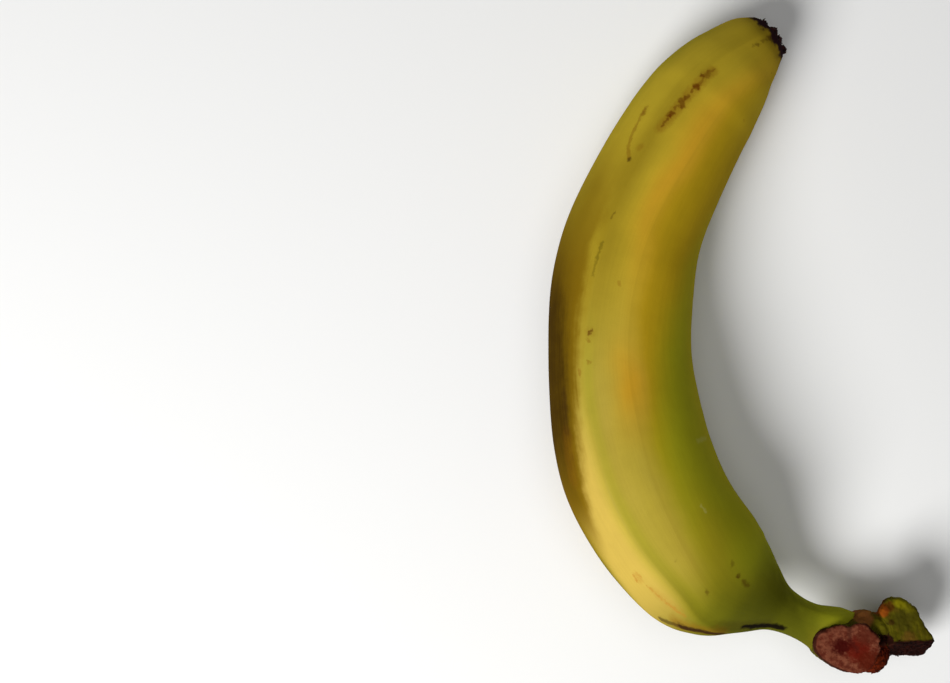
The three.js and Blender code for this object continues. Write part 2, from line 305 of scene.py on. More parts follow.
# Marks: colour, how much of it stays where it's broken up, and its strokes. A stroke has a
# half width, a strength and the places (along, round) that it runs through; a dot has one.
MARKS = [
    (SCAB, 0.85, [
        (0.45, 0.5, [(27.0, 1.4), (29.0, 1.2)]),
        (0.9, 0.65, [(28.9, 0.8), (30.2, 1.5)]),
        (0.75, 0.9, [(30.8, 0.4), (31.2, 0.7)]),
        (0.55, 0.55, [(32.0, 1.5), (33.4, 1.5)]),
        (1.15, 1.0, [(34.4, 1.6), (34.9, 1.4)]),
        (0.55, 0.7, [(36.1, 1.4), (37.0, 1.3)]),
        (0.7, 0.85, [(38.8, 1.5), (39.8, 1.1)]),
        (1.2, 0.85, [(41.2, 1.0), (41.8, 1.6)]),
        (0.5, 0.55, [(42.8, 0.8), (44.2, 0.4)]),
        (1.0, 1.0, [(45.8, 0.6), (46.4, 0.4)]),
        (0.5, 0.75, [(47.8, 0.4), (50.6, 0.1)]),
        (0.65, 0.8, [(113.4, 0.2), (114.3, -0.4)]),
    ]),
    (BROWN_LINE, 0.85, [
        (2.0, 0.45, [(28, 1.3), (35, 1.5), (42, 1.3), (51, 0.1)]),
        (0.75, 0.5, [(48, -10), (55, -8.7), (60, -6.8), (63, -4.2)]),
        (1.1, 0.75, [(47.2, -9.8), (48.8, -9.4)]),
        (1.5, 0.35, [(59, -2.4)]),
        (1.8, 0.25, [(114, -0.1)]),
        (0.6, 0.55, [(116.3, -0.7)]),
        (0.6, 0.45, [(122.4, -1.0)]),
        (0.6, 0.5, [(124.3, -4.2), (126, -4.5)]),
        (0.8, 0.35, [(99.3, 7.8)]),
        (3.2, 0.5, [(198, -4.6), (203, 1.2), (207, 2.8)]),
        (3.4, 0.25, [(143, -15), (153, -17.4)]),
        (0.6, 0.4, [(33, 22)]),
    ]),
    (DARK_DOT, 0.8, [
        (0.9, 0.8, [(63.5, -3.5)]),
        (1.1, 0.9, [(2.5, 1.6), (5.2, 1.8)]),
        (0.6, 0.45, [(5.2, 1.8), (8.4, 2.0)]),
        (0.9, 0.6, [(10.4, 2.3)]),
        (0.6, 0.4, [(11.9, 2.0)]),
        (0.4, 0.45, [(79.5, 0.4), (81.5, 0.3)]),
        (0.9, 0.5, [(196.7, 23.6)]),
        (0.8, 0.8, [(200.9, 23.4)]),
        (0.9, 0.6, [(204, 22.8), (206.4, 22.2)]),
        (0.9, 0.55, [(196.4, 11.6)]),
        (0.5, 0.25, [(184, 4.6)]),
    ]),
    (FRESH_SCRATCH, 0.5, [
        (0.5, 0.6, [(181.6, -11.4), (183, -11.8)]),
        (0.7, 0.5, [(181.4, -9.4), (182.6, -8.6)]),
        (1.9, 0.3, [(182.4, -10)]),
        (0.6, 0.5, [(185.6, -8.4), (190, -5.4), (194, -1.6), (197.2, 1.4)]),
        (1.6, 0.15, [(187, -7.4), (196, 0.8)]),
    ]),
    (DARK_STREAK, 1.0, [
        (1.1, 0.65, [(195.2, -12.4), (197.1, -8.4), (200, -3.6)]),
        (1.7, 0.95, [(199.4, -4.6), (203.8, 0.5), (208, 1.9)]),
        (2.0, 0.3, [(131, -13.6), (141, -15)]),
        (3.0, 0.28, [(207, 6), (221, 5)]),
    ]),
    (BLACK, 1.0, [
        (1.3, 0.97, [(214, 5.2), (217, 4.5)]),
        (1.9, 0.97, [(217, 4.4), (221, 4.1), (227, 3.6)]),
    ]),
    (OLIVE_LINE, 1.0, [
        (0.55, 0.45, [(88.6, 0.1), (93.4, -0.3)]),
        (0.45, 0.35, [(93.4, -0.3), (98.0, -0.6)]),
    ]),
    (PALE_SCRATCH, 1.0, [
        (0.5, 0.4, [(174.8, 21.2), (177.6, 21.6)]),
        (1.1, 0.3, [(152.6, 32.8), (153, 38.6)]),
    ]),
]

# Stains on the crown seen from above: colour, middle in the drawing, radius and strength.
CROWN_STAINS = [
    (srgb(130, 62, 13), (44.7, -84.1), 2.7, 0.9),
    (srgb(74, 30, 6), (46.6, -82.8), 2.4, 0.7),
    (srgb(136, 84, 42), (39.2, -87.0), 3.8, 0.95),
    (srgb(88, 82, 12), (43.8, -88.8), 2.8, 0.8),
    (srgb(50, 45, 8), (51.0, -87.0), 4.6, 0.5),
    (srgb(116, 108, 8), (50.0, -81.2), 2.8, 0.7),
    (srgb(108, 102, 10), (53.0, -81.8), 3.2, 0.5),
    (srgb(92, 54, 22), (53.0, -92.8), 3.0, 0.45),
    (srgb(52, 30, 8), (47.2, -87.6), 1.3, 0.75),
]
FACE_STAINS = [
    (srgb(84, 16, 6), (36.6, -96.4), 5.6, 0.9),
    (srgb(52, 6, 4), (31.6, -95.4), 3.8, 0.95),
    (srgb(74, 28, 16), (38.8, -91.8), 4.2, 0.75),
    (srgb(74, 20, 7), (40.6, -100.4), 5.4, 0.85),
]
FACE_CREASE = [(34.0, -88.0), (33.6, -91.0), (34.2, -93.4), (36.4, -96.6)]

# The crown's and the flower end's colours.
CROWN_SKIN = srgb(59, 54, 6)
CROWN_FIBRE = srgb(84, 78, 9)
CROWN_PATCH = srgb(78, 54, 14)
FACE_DARK = srgb(78, 31, 19)
FACE_LIGHT = srgb(106, 58, 40)
FACE_FLECK = srgb(132, 84, 62)
FACE_PIT = srgb(58, 20, 15)
FACE_CREASE_COLOUR = srgb(44, 14, 10)
FACE_RIM = srgb(40, 16, 9)
CUT_EDGE = srgb(34, 14, 9)
FLESH_DARK = srgb(40, 8, 3)
FLESH_LIGHT = srgb(92, 30, 9)
STRIP_DARK = srgb(18, 5, 4)
STRIP_LIGHT = srgb(44, 17, 11)
HOLLOW = srgb(48, 22, 15)
DRIED_DARK = srgb(16, 6, 7)
DRIED_LIGHT = srgb(62, 22, 18)
DRIED_PATCH = srgb(84, 52, 34)


# ---- Curves and outlines -----------------------------------------------------------------

def profile(pairs):
    """A smooth curve through (place, value) pairs, held level past both ends."""
    places, values = np.array(pairs, float).T
    index = np.arange(len(places))
    before = np.maximum(index - 1, 0)
    after = np.minimum(index + 1, len(places) - 1)
    slopes = (values[after] - values[before]) / (places[after] - places[before])

    def at(where):
        held = np.clip(where, places[0], places[-1])
        end = np.clip(np.searchsorted(places, held), 1, len(places) - 1)
        span = places[end] - places[end - 1]
        t = (held - places[end - 1]) / span
        rise = values[end] - values[end - 1]
        bend = (1 - t) * (slopes[end - 1] * span - rise) - t * (slopes[end] * span - rise)
        return values[end - 1] + rise * t + t * (1 - t) * bend
    return at


def smooth_run(points, steps, closed=False):
    """Points on a smooth centripetal curve through the given ones, with steps between two."""
    points = np.array(points, float)
    if closed:
        padded = np.vstack([points[-1], points, points[:2]])
    else:
        padded = np.vstack([2 * points[0] - points[1], points, 2 * points[-1] - points[-2]])
    run = []
    for p0, p1, p2, p3 in zip(padded, padded[1:], padded[2:], padded[3:]):
        gap0, gap1, gap2 = (math.sqrt(np.linalg.norm(step)) for step in (p1 - p0, p2 - p1, p3 - p2))
        leave = ((p1 - p0) / gap0 - (p2 - p0) / (gap0 + gap1) + (p2 - p1) / gap1) * gap1
        arrive = ((p2 - p1) / gap1 - (p3 - p1) / (gap1 + gap2) + (p3 - p2) / gap2) * gap1
        for step in range(steps):
            t = step / steps
            onward = p1 + (3 * t * t - 2 * t ** 3) * (p2 - p1)
            run.append(onward + (t - 2 * t * t + t ** 3) * leave + (t ** 3 - t * t) * arrive)
    if not closed:
        run.append(points[-1])
    return np.array(run)


def placed(x, y, z):
    """Drawing millimetres to the part's metres."""
    return Vector(((x - DRAWING_MIDDLE[0]) * MM, (y - DRAWING_MIDDLE[1]) * MM, z * MM))


LINE_STEPS = 60
LINE = smooth_run(CENTRELINE, LINE_STEPS)
LINE_DISTANCE = np.concatenate([[0], np.cumsum(np.linalg.norm(np.diff(LINE, axis=0), axis=1))])
FRUIT_LENGTH = float(LINE_DISTANCE[-1])


def on_line(distance):
    """The middle line's point at a distance, and its direction there."""
    def point(at):
        return np.array([np.interp(at, LINE_DISTANCE, LINE[:, axis]) for axis in (0, 1)])
    near, far = (np.clip(distance + step, 0, FRUIT_LENGTH) for step in (-0.5, 0.5))
    ahead = point(far) - point(near)
    return point(distance), ahead / np.linalg.norm(ahead)


# ---- Nodes -------------------------------------------------------------------------------

def summed(operation, reflected=False):
    """A method of Value that adds the node for one sum."""
    def method(value, other):
        terms = (other, value) if reflected else (value, other)
        return value.tree.sum(operation, *terms)
    return method


class Value:
    """An output of a node, with Python's operators for sums on it. A sum that takes in a
    vector goes through Vector Math, and a sum on numbers alone through Math."""

    def __init__(self, tree, socket):
        self.tree = tree
        self.socket = socket

    __add__ = summed("ADD")
    __radd__ = summed("ADD", reflected=True)
    __sub__ = summed("SUBTRACT")
    __rsub__ = summed("SUBTRACT", reflected=True)
    __mul__ = summed("MULTIPLY")
    __rmul__ = summed("MULTIPLY", reflected=True)
    __truediv__ = summed("DIVIDE")
    __rtruediv__ = summed("DIVIDE", reflected=True)
    __pow__ = summed("POWER")

    def __neg__(self):
        return self.tree.sum("MULTIPLY", self, -1.0)

    def __abs__(self):
        return self.tree.sum("ABSOLUTE", self)


class Tree:
    """A node tree that is being built."""

    def __init__(self, tree):
        self.nodes = tree.nodes
        self.links = tree.links
        self.nodes.clear()

    def node(self, kind, settings=None, inputs=None, output=None):
        """Makes one node: its settings first, then values or links for its sockets."""
        made = self.nodes.new(kind)
        for name, setting in (settings or {}).items():
            if name == "stops":
                self.set_stops(made.color_ramp, setting)
            else:
                setattr(made, name, setting)
        for name, value in (inputs or {}).items():
            socket = self.pick(made.inputs, name)
            if isinstance(value, Value):
                self.links.new(value.socket, socket)
            else:
                socket.default_value = value
        if not made.outputs:
            return made
        if output is None:
            return Value(self, next(socket for socket in made.outputs if socket.enabled))
        return Value(self, self.pick(made.outputs, output))

    @staticmethod
    def pick(sockets, name):
        if isinstance(name, int):
            return sockets[name]
        return next(socket for socket in sockets if socket.name == name and socket.enabled)

    @staticmethod
    def set_stops(ramp, stops):
        while len(ramp.elements) < len(stops):
            ramp.elements.new(1.0)
        for element, (place, colour) in zip(ramp.elements, stops):
            element.position = place
            element.color = colour

    def sum(self, operation, *terms):
        """Vector Math where a term is a vector, else Math."""
        vectors = [isinstance(term, Value) and term.socket.type == "VECTOR" for term in terms]
        if not any(vectors):
            return self.node("ShaderNodeMath", {"operation": operation}, dict(enumerate(terms)))
        if operation == "MULTIPLY" and not all(vectors):
            vector, number = terms if vectors[0] else terms[::-1]
            if not isinstance(number, tuple):
                return self.scaled(vector, number)
        return self.node("ShaderNodeVectorMath", {"operation": operation}, dict(enumerate(terms)))

    def scaled(self, vector, number):
        return self.node("ShaderNodeVectorMath", {"operation": "SCALE"}, {0: vector, "Scale": number})

    def vector(self, x, y, z):
        return self.node("ShaderNodeCombineXYZ", inputs={"X": x, "Y": y, "Z": z})

    def split(self, vector):
        parts = self.node("ShaderNodeSeparateXYZ", inputs={0: vector})
        return [Value(self, socket) for socket in parts.socket.node.outputs]

    def fade(self, value, start, end):
        """0 at start and 1 at end, eased at both."""
        inputs = {"Value": value, "From Min": start, "From Max": end}
        return self.node("ShaderNodeMapRange", {"interpolation_type": "SMOOTHSTEP"}, inputs)

    def hump(self, value, middle, half_width):
        """1 at the middle, falling off smoothly to either side."""
        off = (value - middle) / half_width
        return self.sum("EXPONENT", -(off * off))

    def held(self, value):
        """The value kept between 0 and 1. Two plain sums take less room in the shader than a
        clamped one, whose clamp the renderer puts off."""
        return self.sum("MINIMUM", self.sum("MAXIMUM", value, 0.0), 1.0)

    def noise(self, vector, pattern):
        """One of the named noise patterns, between 0 and 1."""
        inputs = dict(zip(("Scale", "Detail", "Roughness", "Distortion"), NOISES[pattern]))
        return self.node("ShaderNodeTexNoise", inputs={"Vector": vector, **inputs})

    def mix(self, factor, first, second):
        inputs = {"Factor": factor, "A": first, "B": second}
        return self.node("ShaderNodeMix", {"data_type": "RGBA"}, inputs)

    def tint(self, colour, tint, value, start, end, strength=1.0):
        """The colour turned towards a tint as the value goes from start to end."""
        share = self.fade(value, start, end)
        return self.mix(share if strength == 1.0 else share * strength, colour, tint)

    def bump(self, height, strength, distance):
        inputs = {"Strength": strength, "Distance": distance, "Height": height}
        return self.node("ShaderNodeBump", inputs=inputs)

    def shaded(self, colour, level):
        """The colour made lighter or darker."""
        return self.node("ShaderNodeHueSaturation", inputs={"Value": level, "Color": colour})


class GeometryTree(Tree):
    """A geometry tree with named inputs, run on an object and applied to it."""

    def __init__(self, name):
        self.group = bpy.data.node_groups.new(name, "GeometryNodeTree")
        self.identifiers = {}
        super().__init__(self.group)
        self.group.interface.new_socket("Geometry", in_out="INPUT", socket_type="NodeSocketGeometry")
        self.group.interface.new_socket("Geometry", in_out="OUTPUT", socket_type="NodeSocketGeometry")
        self.start = self.nodes.new("NodeGroupInput")

    def input(self, name, kind):
        """Adds a named input to the tree and gives its value."""
        socket = self.group.interface.new_socket(name, in_out="INPUT", socket_type=f"NodeSocket{kind}")
        self.identifiers[name] = socket.identifier
        return Value(self, self.start.outputs[name])

    def floats(self, *names):
        return [self.input(name, "Float") for name in names]

    def geometry(self):
        return Value(self, self.start.outputs["Geometry"])

    def attribute(self, name, kind="FLOAT"):
        return self.node("GeometryNodeInputNamedAttribute", {"data_type": kind}, {"Name": name})

    def store(self, geometry, name, value, kind="FLOAT", domain="POINT"):
        settings = {"data_type": kind, "domain": domain}
        inputs = {"Geometry": geometry, "Name": name, "Value": value}
        return self.node("GeometryNodeStoreNamedAttribute", settings, inputs)

    def end(self, geometry, material):
        """Closes the tree with real geometry that wears the material."""
        solid = self.node("GeometryNodeRealizeInstances", inputs={"Geometry": geometry})
        worn = self.node("GeometryNodeSetMaterial", inputs={"Geometry": solid, "Material": material})
        self.links.new(worn.socket, self.nodes.new("NodeGroupOutput").inputs[0])

    def run(self, piece, **values):
        """The mesh that the tree makes of the piece with these inputs."""
        modifier = piece.modifiers.new("nodes", "NODES")
        modifier.node_group = self.group
        for name, value in values.items():
            modifier[self.identifiers[name.replace("_", " ").capitalize()]] = value
        piece.update_tag()
        return applied(piece)


# ---- Meshes ------------------------------------------------------------------------------

def applied(piece):
    """Replaces the piece's mesh by its evaluated one and takes its modifiers off."""
    bpy.context.view_layer.update()
    evaluated = piece.evaluated_get(bpy.context.evaluated_depsgraph_get())
    mesh = bpy.data.meshes.new_from_object(evaluated)
    piece.modifiers.clear()
    piece.data = mesh
    return mesh


def new_piece(name, mesh):
    mesh.name = name
    piece = bpy.data.objects.new(name, mesh)
    bpy.context.scene.collection.objects.link(piece)
    return piece


def mesh_of(rings, first_middle, last_middle):
    """A closed mesh through rings of points, with a fan of faces at each end."""
    count = len(rings[0])
    points = [point for ring in rings for point in ring] + [first_middle, last_middle]
    first, last = len(points) - 2, len(points) - 1
    top = (len(rings) - 1) * count
    faces = []
    for i in range(count):
        after = (i + 1) % count
        faces.append((first, after, i))
        faces.append((last, top + i, top + after))
        for ring in range(len(rings) - 1):
            row = ring * count
            faces.append((row + i, row + after, row + count + after, row + count + i))
    mesh = bpy.data.meshes.new("rings")
    mesh.from_pydata(points, [], faces)
    return mesh


def lump_mesh(middle, half, turn):
    """A rounded lump with its own half sizes, turned in plan by some degrees."""
    shape = bmesh.new()
    bmesh.ops.create_icosphere(shape, subdivisions=BALL_SUBDIVISIONS, radius=1.0)
    cosine, sine = math.cos(math.radians(turn)), math.sin(math.radians(turn))
    for vertex in shape.verts:
        x, y, z = (value * size for value, size in zip(vertex.co, half))
        across = middle[0] + x * cosine - y * sine
        vertex.co = placed(across, middle[1] + x * sine + y * cosine, middle[2] + z)
    mesh = bpy.data.meshes.new("lump")
    shape.to_mesh(mesh)
    shape.free()
    return mesh


def joined(meshes):
    """One mesh holding all the given ones, with their faces turned outwards."""
    shape = bmesh.new()
    for mesh in meshes:
        shape.from_mesh(mesh)
    bmesh.ops.recalc_face_normals(shape, faces=shape.faces)
    mesh = bpy.data.meshes.new("joined")
    shape.to_mesh(mesh)
    shape.free()
    return mesh


def fuse(piece, voxel):
    """Makes overlapping closed shapes one closed skin of small faces."""
    remesh = piece.modifiers.new("fuse", "REMESH")
    remesh.mode = "VOXEL"
    remesh.voxel_size = voxel
    applied(piece)


def cut_away(piece, cutter_mesh):
    cutter = new_piece("cutter", cutter_mesh)
    cut = piece.modifiers.new("cut", "BOOLEAN")
    cut.operation = "DIFFERENCE"
    cut.solver = "EXACT"
    cut.object = cutter
    applied(piece)
    bpy.data.objects.remove(cutter)


def vectors(items, name):
    """The named vector of every item, as rows of three."""
    values = np.empty(len(items) * 3)
    items.foreach_get(name, values)
    return values.reshape(-1, 3)


def relax(mesh, rounds):
    """Smooths the mesh by moving each point half way to the middle of its neighbours."""
    ends = np.empty(len(mesh.edges) * 2, np.int64)
    mesh.edges.foreach_get("vertices", ends)
    a, b = ends.reshape(-1, 2).T
    points = vectors(mesh.vertices, "co")
    count = np.bincount(ends, minlength=len(points))[:, None]
    for _ in range(rounds):
        total = np.zeros_like(points)
        np.add.at(total, a, points[b])
        np.add.at(total, b, points[a])
        points = (points + total / count) / 2
    mesh.vertices.foreach_set("co", points.ravel())
    mesh.update()


def ease(values, start, end):
    """0 at start and 1 at end, eased at both."""
    t = np.clip((values - start) / (end - start), 0, 1)
    return t * t * (3 - 2 * t)


def set_shares(mesh, shares):
    """Stores a number at each point under each name."""
    for name, values in shares.items():
        mesh.attributes.new(name, "FLOAT", "POINT").data.foreach_set("value", values)


def set_vectors(mesh, name, rows):
    mesh.attributes.new(name, "FLOAT_VECTOR", "POINT").data.foreach_set("vector", np.ravel(rows))


def dressed(piece, material):
    """Gives a finished piece its material and its place in the frame."""
    piece.data.materials.clear()
    piece.data.materials.append(material)
    piece.data.shade_smooth()
    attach(piece, BODY)
    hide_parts(NODE)


# ---- The fruit ---------------------------------------------------------------------------

OUTER_REACH = profile([(place, outer) for place, outer, _ in REACH])
INNER_REACH = profile([(place, inner) for place, _, inner in REACH])
UNDERSIDE_AT = profile(UNDERSIDE)
HEIGHT_OVER_WIDTH_AT = profile(HEIGHT_OVER_WIDTH)
STRENGTH_AT = profile(RIDGE_STRENGTH)
BACK_LINE_AT = profile(BACK_LINE)
BEARING_AT = [
    profile([(place, math.radians(bearing)) for place, bearing in bearings]) for _, bearings in RIDGES]
RIDGE_COUNT = len(RIDGES)
# Points between two ridges when a section is measured.
SECTION_SAMPLES = 12
# Points closer than this are one, in metres.
SAME_PLACE = 1e-6
# The heights in metres between which the skin begins to swell.
LIFTED = (0.001, 0.006)


def unit_section(distance, softness):
    """The section's shape before it is set to size, as arrays of across and up. Each face is
    level at its middle and rises to the ridge on either side of it."""
    turn = np.arange(RIDGE_COUNT * SECTION_SAMPLES) / SECTION_SAMPLES
    bearings = [float(bearing(distance)) for bearing in BEARING_AT]
    knots = bearings + [bearings[0] + 2 * math.pi]
    bearing = np.interp(turn, range(RIDGE_COUNT + 1), knots)
    relief = sum(rise * ridge_height(turn - ridge, softness * ROUNDNESS[ridge])
                 for ridge, (rise, _) in enumerate(RIDGES))
    relief = relief + RIDGES[0][0] * ridge_height(turn - RIDGE_COUNT, softness * ROUNDNESS[0])
    radius = 1 + float(STRENGTH_AT(distance)) * relief
    return radius * np.sin(bearing), radius * np.cos(bearing)


def ridge_height(off, softness):
    """1 on a ridge and 0 from half way to the next, rounded on top by the softness."""
    return np.maximum(0, 1 - 2 * np.sqrt(off ** 2 + softness ** 2)) ** 2


def fruit_rows(rows):
    """The sections along the fruit as (distance, share of full size)."""
    closing_start = FRUIT_LENGTH - CROWN_CLOSING_LENGTH
    opening_end = FLOWER_CLOSING[-1][1]
    made = [(distance, share) for share, distance in FLOWER_CLOSING]
    made += [(opening_end + (closing_start - opening_end) * i / (rows - 1), 1.0) for i in range(1, rows)]
    for i in range(1, CROWN_CLOSING_ROWS + 1):
        turn = math.pi / 2 * i / CROWN_CLOSING_ROWS
        made.append((closing_start + CROWN_CLOSING_LENGTH * math.sin(turn), max(0.0, math.cos(turn))))
    return made


def spine_mesh(rows, softness):
    """The middle line as a string of edges that carries each section's sizes."""
    sections, inwards, points = [], [], []
    for distance, share in fruit_rows(rows):
        middle, ahead = on_line(distance)
        across, up = unit_section(distance, softness)
        outer, inner = OUTER_REACH(distance), INNER_REACH(distance)
        full_height = (outer + inner) * HEIGHT_OVER_WIDTH_AT(distance)
        bottom = UNDERSIDE_AT(distance) + full_height * (1 - share) / 2
        wide = (outer * share + inner * share) / (across.max() - across.min())
        tall = full_height * share / (up.max() - up.min())
        section = {
            "wide": wide * MM,
            "wide_shift": (-outer * share - across.min() * wide) * MM,
            "tall": tall * MM,
            "tall_shift": (bottom - up.min() * tall) * MM,
            "strength": float(STRENGTH_AT(distance)),
            "along": distance * MM,
            "girth": (outer + inner) / 2 * MM,
            "back": math.radians(BACK_LINE_AT(distance)),
        }
        for ridge, bearing in enumerate(BEARING_AT):
            section[f"bearing_{ridge}"] = float(bearing(distance))
        sections.append(section)
        inwards.append((-ahead[1], ahead[0], 0.0))
        points.append(placed(*middle, 0.0))
    mesh = bpy.data.meshes.new("spine")
    mesh.from_pydata(points, [(i, i + 1) for i in range(len(points) - 1)], [])
    set_shares(mesh, {name: [section[name] for section in sections] for name in sections[0]})
    set_vectors(mesh, "inward", inwards)
    set_vectors(mesh, "middle", points)
    return mesh


def fruit_tree():
    """Sweeps the ridged section along the spine, as the drawing's rule says."""
    tree = GeometryTree("Ridged fruit")
    columns = tree.input("Columns", "Int")
    ridge_scale, softness, unevenness = tree.floats("Ridge height", "Softness", "Unevenness")
    material = tree.input("Material", "Material")

    spine = tree.node("GeometryNodeMeshToCurve", inputs={"Mesh": tree.geometry()})
    round_section = tree.node("GeometryNodeMeshLine", inputs={
        "Count": columns * RIDGE_COUNT + 1, "Offset": (0.0, 0.0, MM)})
    index = tree.node("GeometryNodeInputIndex")
    round_section = tree.store(round_section, "turn", index / columns)
    round_section = tree.node("GeometryNodeMeshToCurve", inputs={"Mesh": round_section})
    skin = tree.node("GeometryNodeCurveToMesh", inputs={"Curve": spine, "Profile Curve": round_section})

    turn = tree.attribute("turn")
    bearing, relief = 0.0, 0.0
    for knot in range(RIDGE_COUNT + 1):
        ridge = knot % RIDGE_COUNT
        off = turn - float(knot)
        reached = tree.sum("MAXIMUM", 1.0 - abs(off), 0.0)
        full_turn = 2 * math.pi * (knot // RIDGE_COUNT)
        bearing = reached * (tree.attribute(f"bearing_{ridge}") + full_turn) + bearing
        rounded = (off * off + (softness * ROUNDNESS[ridge]) ** 2.0) ** 0.5
        height = tree.sum("MAXIMUM", 1.0 - 2.0 * rounded, 0.0)
        relief = height * height * RIDGES[ridge][0] + relief
    radius = 1.0 + relief * tree.attribute("strength") * ridge_scale
    across = radius * tree.sum("SINE", bearing) * tree.attribute("wide") + tree.attribute("wide_shift")
    up = radius * tree.sum("COSINE", bearing) * tree.attribute("tall") + tree.attribute("tall_shift")
    middle = tree.attribute("middle", "FLOAT_VECTOR")
    inward = tree.attribute("inward", "FLOAT_VECTOR")
    place = middle + inward * across + tree.vector(0.0, 0.0, tree.sum("MAXIMUM", up, 0.0))
    skin = tree.node("GeometryNodeSetPosition", inputs={"Geometry": skin, "Position": place})

    girth = tree.attribute("girth")
    around = (bearing - tree.attribute("back")) * girth
    from_ridge = (bearing - tree.attribute(f"bearing_{MAIN_RIDGE}")) * girth
    along = tree.attribute("along")
    skin = tree.store(skin, "UVMap", tree.vector(along / (FRUIT_LENGTH * MM), turn / RIDGE_COUNT, 0.0),
                      "FLOAT2", "CORNER")
    skin = tree.store(skin, "PeelMap", tree.vector(along, around, 0.0), "FLOAT2", "CORNER")
    skin = tree.store(skin, "from_ridge", from_ridge, "FLOAT", "CORNER")
    skin = tree.node("GeometryNodeMergeByDistance", inputs={"Geometry": skin, "Distance": SAME_PLACE})

    # The skin swells only where it's clear of the surface that the fruit lies on.
    lifted = tree.fade(tree.split(tree.node("GeometryNodeInputPosition"))[2], *LIFTED)
    swell = (tree.noise(tree.node("GeometryNodeInputPosition"), "swell") - 0.5) * unevenness * lifted
    offset = tree.node("GeometryNodeInputNormal") * swell
    skin = tree.node("GeometryNodeSetPosition", inputs={"Geometry": skin, "Offset": offset})
    tree.end(skin, material)
    return tree


# ---- Finishes ----------------------------------------------------------------------------

def new_material(name):
    material = bpy.data.materials.new(name)
    material.use_nodes = True
    return material, Tree(material.node_tree)


def close_material(tree, **inputs):
    """Ends a material in one glossy surface shader."""
    named = {name.replace("_", " "): value for name, value in inputs.items()}
    shader = tree.node("ShaderNodeBsdfPrincipled", inputs=named)
    tree.node("ShaderNodeOutputMaterial", inputs={"Surface": shader})


def rgba(colour):
    return (*colour[:3], 1.0)


def stored(tree, name):
    """The number that the mesh stores under a name."""
    return tree.node("ShaderNodeAttribute", {"attribute_name": name}, output="Fac")


def peel_material(settings):
    """The peel: broad washes of colour, the bands, specks, marks and fine grain."""
    material, tree = new_material("peel")
    place = tree.node("ShaderNodeTexCoord", output="Object")
    peel = tree.node("ShaderNodeUVMap", {"uv_map": "PeelMap"}) * (1 / MM)
    turn = tree.split(tree.node("ShaderNodeUVMap", {"uv_map": "UVMap"}))[1] * (2 * math.pi)
    streaks = peel_streaks(tree, peel, turn)
    mottle = tree.noise(place, "mottle")

    skin = washed_skin(tree, settings, place, peel)
    measures = band_measures(tree, peel, turn, streaks, mottle)
    for name, strength, fades in BANDS:
        skin = tree.mix(band_share(tree, measures, fades, strength), skin, rgba(getattr(settings, name)))
    skin = tree.shaded(skin, 0.86 + mottle * 0.16 + streaks * 0.12)
    skin = specks(tree, settings, skin, place)
    skin, marked = marks(tree, skin, place, peel)
    skin, dried = dried_end(tree, settings, skin, place, peel)

    # The marks stay out of the bump, which works out its inputs three times over.
    height = tree.noise(place, "peel grain") * 0.35 + streaks * 0.5 + mottle * 0.6
    bump = tree.bump(height, strength=0.22, distance=0.0003)
    gloss = 0.46 + mottle * 0.1 + marked * 0.3 + dried * 0.3
    close_material(tree, Base_Color=skin, Roughness=gloss, Specular_IOR_Level=0.0, Coat_Weight=0.02,
                   Coat_Roughness=0.32, Coat_IOR=1.6, Normal=bump)
    return material


def peel_streaks(tree, peel, turn):
    """Faint lines that run lengthwise under the skin."""
    along = tree.split(peel)[0]
    sine, cosine = (tree.sum(operation, turn) * PEEL_RADIUS for operation in ("SINE", "COSINE"))
    return tree.noise(tree.vector(along * STREAK_STRETCH, sine, cosine), "streaks")


def washed_skin(tree, settings, place, peel):
    """Green to olive peel with its ripe back and broad washes of colour."""
    aside = place + (0.4, 0.1, 0.2)
    sway = tree.vector(tree.noise(place, "sway") - 0.5, tree.noise(aside, "sway") - 0.5, 0.0)
    along, around, _ = tree.split(peel + sway * WASH_SWAY)
    greener = along + (around - 26.0) * 3.2
    skin = tree.tint(rgba(settings.olive), rgba(settings.green), greener, 82.0, 145.0)
    mossy = tree.fade(along, 188.0, 214.0) * tree.fade(around, 12.0, 30.0)
    skin = tree.mix(mossy, skin, rgba(settings.moss))
    back = tree.tint(rgba(settings.yellow), rgba(settings.straw), along, 80.0, 125.0)
    ripe = tree.fade(around, -33.0, -19.0) * tree.fade(around, 17.0, 8.5) * tree.fade(along, 210.0, 182.0)
    skin = tree.mix(ripe, skin, back)
    for name, along_middle, half_length, around_middle, half_width, strength in WASHES:
        wash = tree.hump(along, along_middle, half_length) * tree.hump(around, around_middle, half_width)
        skin = tree.mix(wash * strength, skin, rgba(getattr(settings, name)))
    return skin


def band_measures(tree, peel, turn, streaks, mottle):
    """What the bands go by: places on the peel in millimetres, and patterns from 0 to 1."""
    along, around, _ = tree.split(peel)
    from_ridge = stored(tree, "from_ridge") * (1 / MM)
    # How deep into the browned side a point lies; the brown there is partly painted shadow.
    bend = tree.sum("MAXIMUM", along - BROWN_START, 0.0) / BROWN_BEND
    depth = -BROWN_GAP - bend * bend - around + (mottle - 0.5) * 5.0 + (streaks - 0.5) * 3.0
    between = tree.sum("PINGPONG", turn * (RIDGE_COUNT / (2 * math.pi)), 0.5)
    return {
        "along": along,
        "around": around,
        "from_ridge": from_ridge,
        "main_ridge": tree.hump(from_ridge, 1.8, 1.9),
        "other_ridges": tree.hump(between, 0.0, 0.035),
        "depth": depth,
        "deep": depth * (1 + bend * 0.45),
        "patchy": 0.96 + (streaks - 0.5) * 0.5 + (mottle - 0.5) * 0.4,
        "to_neck": along + mottle * 8.0,
        "to_crown": along + mottle * 8.0 + (around - 12.0) * 0.8,
        "to_stub": along + mottle * 6.0,
        "below": around - tree.fade(along, 243.0, 254.0) * 9.0,
    }


